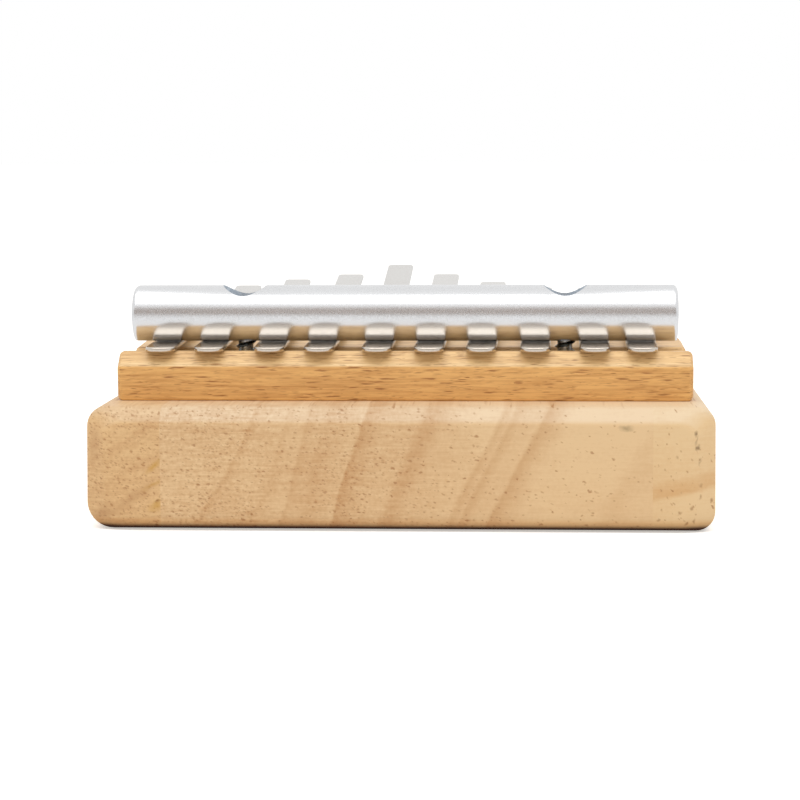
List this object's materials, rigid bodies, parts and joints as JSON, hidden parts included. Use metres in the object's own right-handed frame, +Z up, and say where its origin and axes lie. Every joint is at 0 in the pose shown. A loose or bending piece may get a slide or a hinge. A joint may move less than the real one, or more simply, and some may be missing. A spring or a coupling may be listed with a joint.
{
  "type": "kalimba",
  "caption": "Thumb piano: spring-steel tines clamped by a round screwed bar over a grooved beech bridge on a solid edge-glued wooden board; each tine springs back when plucked.",
  "frame": {"origin": "middle of the board's underside", "axes": "+X across the tines to the right as seen from the bridge end, +Y from the bridge end to the playing end, +Z up"},
  "size_m": [0.1016, 0.15, 0.0384],
  "materials": {
    "board_wood": "sanded and oiled pale hardwood",
    "bridge_wood": "planed beech",
    "saddle_steel": "drawn rod",
    "bar_aluminium": "fine bead blast",
    "screw_zinc": "bright zinc plate",
    "tine_steel": "rolled spring strip with tumbled ends"
  },
  "bodies": {
    "frame": {"body_core": "board_wood", "body_stave_left": "board_wood", "body_stave_right": "board_wood", "bridge": "bridge_wood", "saddle_rod": "saddle_steel", "pressure_bar": "bar_aluminium", "clamp_screw_left": "screw_zinc", "clamp_screw_right": "screw_zinc"},
    "tine_d5": {"tine_d5": "tine_steel"},
    "tine_b4": {"tine_b4": "tine_steel"},
    "tine_g4": {"tine_g4": "tine_steel"},
    "tine_e4": {"tine_e4": "tine_steel"},
    "tine_c4": {"tine_c4": "tine_steel"},
    "tine_d4": {"tine_d4": "tine_steel"},
    "tine_f4": {"tine_f4": "tine_steel"},
    "tine_a4": {"tine_a4": "tine_steel"},
    "tine_c5": {"tine_c5": "tine_steel"},
    "tine_e5": {"tine_e5": "tine_steel"}
  },
  "joints": [
    {"name": "pluck_d5", "type": "hinge", "parent": "frame", "child": "tine_d5", "pos_m": [-0.04025, -0.0532, 0.02859], "axis": [1, 0, 0], "range_deg": [-1.4, 0.6], "stiffness_Nm_per_rad": 9},
    {"name": "pluck_b4", "type": "hinge", "parent": "frame", "child": "tine_b4", "pos_m": [-0.03215, -0.0532, 0.02859], "axis": [1, 0, 0], "range_deg": [-1.4, 0.6], "stiffness_Nm_per_rad": 7.79},
    {"name": "pluck_g4", "type": "hinge", "parent": "frame", "child": "tine_g4", "pos_m": [-0.02225, -0.0532, 0.02859], "axis": [1, 0, 0], "range_deg": [-1.4, 0.6], "stiffness_Nm_per_rad": 6.45},
    {"name": "pluck_e4", "type": "hinge", "parent": "frame", "child": "tine_e4", "pos_m": [-0.01375, -0.0532, 0.02859], "axis": [1, 0, 0], "range_deg": [-1.4, 0.6], "stiffness_Nm_per_rad": 5.62},
    {"name": "pluck_c4", "type": "hinge", "parent": "frame", "child": "tine_c4", "pos_m": [-0.00415, -0.0532, 0.02859], "axis": [1, 0, 0], "range_deg": [-1.4, 0.6], "stiffness_Nm_per_rad": 4.7},
    {"name": "pluck_d4", "type": "hinge", "parent": "frame", "child": "tine_d4", "pos_m": [0.00455, -0.0532, 0.02859], "axis": [1, 0, 0], "range_deg": [-1.4, 0.6], "stiffness_Nm_per_rad": 5.14},
    {"name": "pluck_f4", "type": "hinge", "parent": "frame", "child": "tine_f4", "pos_m": [0.01325, -0.0532, 0.02859], "axis": [1, 0, 0], "range_deg": [-1.4, 0.6], "stiffness_Nm_per_rad": 5.88},
    {"name": "pluck_a4", "type": "hinge", "parent": "frame", "child": "tine_a4", "pos_m": [0.02215, -0.0532, 0.02859], "axis": [1, 0, 0], "range_deg": [-1.4, 0.6], "stiffness_Nm_per_rad": 7.08},
    {"name": "pluck_c5", "type": "hinge", "parent": "frame", "child": "tine_c5", "pos_m": [0.03195, -0.0532, 0.02859], "axis": [1, 0, 0], "range_deg": [-1.4, 0.6], "stiffness_Nm_per_rad": 8.17},
    {"name": "pluck_e5", "type": "hinge", "parent": "frame", "child": "tine_e5", "pos_m": [0.03975, -0.0532, 0.02859], "axis": [1, 0, 0], "range_deg": [-1.4, 0.6], "stiffness_Nm_per_rad": 9.94}
  ]
}
